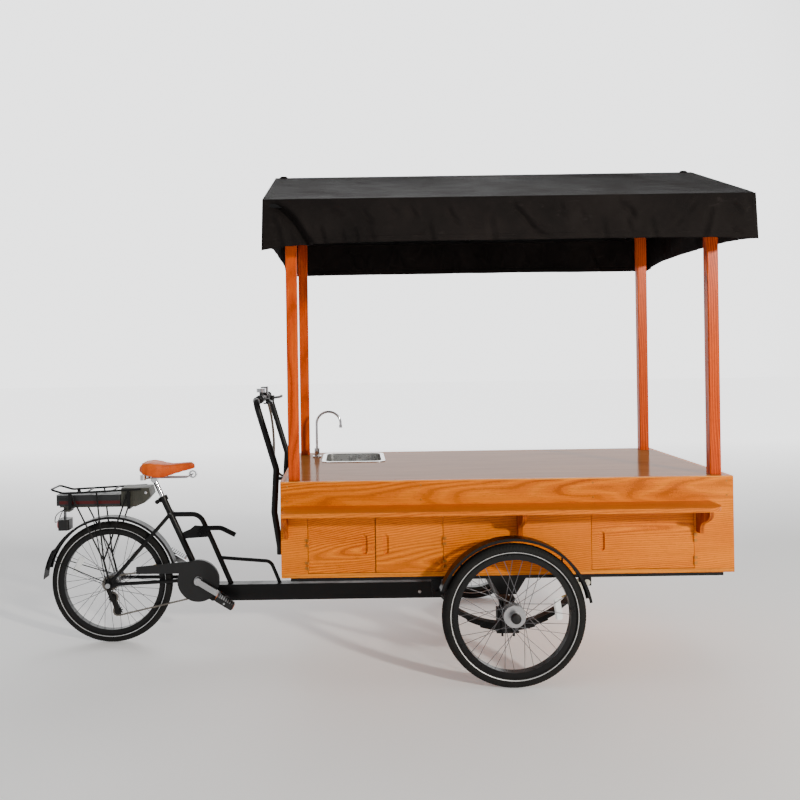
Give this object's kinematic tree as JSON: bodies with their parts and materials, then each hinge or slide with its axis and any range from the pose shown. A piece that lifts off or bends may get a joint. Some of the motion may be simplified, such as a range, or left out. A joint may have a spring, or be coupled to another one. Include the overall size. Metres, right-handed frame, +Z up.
{
  "type": "cargo tricycle vending cart",
  "caption": "Pedal cargo tricycle with a wooden counter box between the front wheels, a sink with a tap, a side shelf and a black gable canopy on wooden posts.",
  "frame": {"origin": "on the ground under the middle of the tricycle's overall box", "axes": "+X is the way it rides, +Y is the rider's left, +Z is up"},
  "size_m": [3.2742, 1.36, 2.328],
  "materials": {
    "frame_black": "satin black enamel",
    "guard_black": "gloss black enamel",
    "spring_black": "satin black enamel with zinc-plated shackles",
    "box_wood": "varnished golden-orange wood",
    "post_wood": "varnished red-orange wood",
    "floor_wood": "pale varnished plywood",
    "counter_laminate": "glossy brown laminate",
    "stainless": "brushed stainless steel",
    "chrome": "polished chrome",
    "tank_plastic": "translucent white plastic",
    "canopy_fabric": "matt black woven polyester",
    "grip_rubber": "matt black rubber",
    "control_black": "black plastic",
    "cable_wrap": "grey-brown spiral wrap",
    "hinge_brass": "satin brass",
    "tyre": "matt black rubber",
    "rim_alloy": "black rim with dark steel spokes",
    "hub_alloy": "polished alloy",
    "steel": "zinc-plated steel",
    "chain_steel": "dark oiled steel",
    "alloy": "satin alloy",
    "battery_grey": "dark grey plastic",
    "lamp": "dark lamp body with a red lens",
    "leather": "tan leather"
  },
  "bodies": {
    "cart": {"chassis_frame": "frame_black", "leaf_springs": "spring_black", "front_axle": "frame_black", "front_mudguards": "guard_black", "box_floor": "floor_wood", "side_panels": "box_wood", "cross_panels": "box_wood", "counter_top": "counter_laminate", "apron_boards": "box_wood", "side_shelf": "box_wood", "shelf_corbels": "box_wood", "sink_bowl": "stainless", "water_system": "tank_plastic", "canopy_posts": "post_wood", "canopy_frame": "frame_black", "canopy_cover": "canopy_fabric", "handlebar": "frame_black", "handlebar_grips": "grip_rubber", "handlebar_controls": "control_black", "control_cable": "cable_wrap", "faucet_body": "chrome", "door_hinges": "hinge_brass"},
    "front_wheel_right": {"front_tyre_right": "tyre", "front_rim_right": "rim_alloy", "front_hub_right": "hub_alloy"},
    "front_wheel_left": {"front_tyre_left": "tyre", "front_rim_left": "rim_alloy", "front_hub_left": "hub_alloy"},
    "spout": {"faucet_spout": "chrome"},
    "tap_lever": {"faucet_lever": "chrome"},
    "rear_door": {"door_rear": "box_wood"},
    "middle_door": {"door_middle": "box_wood"},
    "front_door": {"door_front": "box_wood"},
    "right_brake_lever": {"brake_lever_right": "alloy"},
    "left_brake_lever": {"brake_lever_left": "alloy"},
    "rear_end": {"rear_frame": "frame_black", "rear_mudguard": "guard_black", "rear_rack": "frame_black", "battery_dock": "battery_grey", "tail_light": "lamp", "chain_case": "control_black", "rear_axle": "steel", "seat_collar": "frame_black", "derailleur": "control_black", "chain": "chain_steel"},
    "rear_wheel": {"rear_tyre": "tyre", "rear_rim": "rim_alloy", "rear_hub": "hub_alloy"},
    "freewheel": {"rear_sprocket": "chain_steel"},
    "crank": {"crank_arms": "alloy", "chainring": "chain_steel"},
    "right_pedal": {"pedal_right": "alloy"},
    "left_pedal": {"pedal_left": "alloy"},
    "upper_jockey": {"jockey_upper": "control_black"},
    "lower_jockey": {"jockey_lower": "control_black"},
    "battery": {"battery_pack": "battery_grey"},
    "saddle": {"seat_post": "chrome", "saddle_top": "leather", "saddle_frame": "chrome"},
    "parking_brake": {"parking_brake_lever": "grip_rubber"}
  },
  "joints": [
    {"name": "steering", "type": "hinge", "parent": "cart", "child": "rear_end", "pos_m": [0.39209, 0, 0.286], "axis": [0, 0, 1], "range_deg": [-35, 35]},
    {"name": "front_wheel_right_spin", "type": "hinge", "parent": "cart", "child": "front_wheel_right", "pos_m": [0.59209, -0.62, 0.308], "axis": [0, 1, 0], "continuous": true},
    {"name": "front_wheel_left_spin", "type": "hinge", "parent": "cart", "child": "front_wheel_left", "pos_m": [0.59209, 0.62, 0.308], "axis": [0, 1, 0], "continuous": true},
    {"name": "rear_wheel_spin", "type": "hinge", "parent": "rear_end", "child": "rear_wheel", "pos_m": [-1.30191, 0, 0.303], "axis": [0, 1, 0], "continuous": true},
    {"name": "crank_spin", "type": "hinge", "parent": "rear_end", "child": "crank", "pos_m": [-0.86091, 0, 0.314], "axis": [0, 1, 0], "continuous": true},
    {"name": "freewheel_spin", "type": "hinge", "parent": "rear_end", "child": "freewheel", "pos_m": [-1.30191, -0.0455, 0.303], "axis": [0, 1, 0], "continuous": true},
    {"name": "upper_jockey_spin", "type": "hinge", "parent": "rear_end", "child": "upper_jockey", "pos_m": [-1.28791, -0.0455, 0.236], "axis": [0, 1, 0], "continuous": true},
    {"name": "lower_jockey_spin", "type": "hinge", "parent": "rear_end", "child": "lower_jockey", "pos_m": [-1.26391, -0.0455, 0.168], "axis": [0, 1, 0], "continuous": true},
    {"name": "right_pedal_spin", "type": "hinge", "parent": "crank", "child": "right_pedal", "pos_m": [-0.72053, -0.115, 0.2273], "axis": [0, 1, 0], "continuous": true},
    {"name": "left_pedal_spin", "type": "hinge", "parent": "crank", "child": "left_pedal", "pos_m": [-1.00129, 0.115, 0.4007], "axis": [0, 1, 0], "continuous": true},
    {"name": "rear_door_hinge", "type": "hinge", "parent": "cart", "child": "rear_door", "pos_m": [-0.28891, -0.504, 0.466], "axis": [0, 0, -1], "range_deg": [0, 100]},
    {"name": "middle_door_hinge", "type": "hinge", "parent": "cart", "child": "middle_door", "pos_m": [0.30809, -0.504, 0.466], "axis": [0, 0, 1], "range_deg": [0, 80]},
    {"name": "front_door_hinge", "type": "hinge", "parent": "cart", "child": "front_door", "pos_m": [1.41509, -0.504, 0.466], "axis": [0, 0, 1], "range_deg": [0, 90]},
    {"name": "spout_swivel", "type": "hinge", "parent": "cart", "child": "spout", "pos_m": [-0.27991, 0.326, 0.918], "axis": [0, 0, 1], "range_deg": [-75, 75]},
    {"name": "tap_valve", "type": "hinge", "parent": "cart", "child": "tap_lever", "pos_m": [-0.27991, 0.296, 0.897], "axis": [0, 1, 0], "range_deg": [0, 90]},
    {"name": "right_brake_pull", "type": "hinge", "parent": "cart", "child": "right_brake_lever", "pos_m": [-0.49791, -0.135, 1.206], "axis": [0, 0, -1], "range_deg": [0, 12], "stiffness_Nm_per_rad": 1.5},
    {"name": "left_brake_pull", "type": "hinge", "parent": "cart", "child": "left_brake_lever", "pos_m": [-0.49791, 0.135, 1.206], "axis": [0, 0, 1], "range_deg": [0, 12], "stiffness_Nm_per_rad": 1.5},
    {"name": "battery_slide", "type": "slide", "parent": "rear_end", "child": "battery", "axis": [-1, 0, 0], "range_m": [0, 0.33]},
    {"name": "saddle_height", "type": "slide", "parent": "rear_end", "child": "saddle", "axis": [-0.4099, 0, 0.9121], "range_m": [-0.03, 0.06]},
    {"name": "parking_brake_pull", "type": "hinge", "parent": "rear_end", "child": "parking_brake", "pos_m": [-0.85391, -0.028, 0.543], "axis": [0, -1, 0], "range_deg": [0, 40]}
  ],
  "couplings": [
    {"joint": "freewheel_spin", "follows": "crank_spin", "ratio": 2.1111},
    {"joint": "upper_jockey_spin", "follows": "crank_spin", "ratio": -3.4545},
    {"joint": "lower_jockey_spin", "follows": "crank_spin", "ratio": 3.4545}
  ]
}
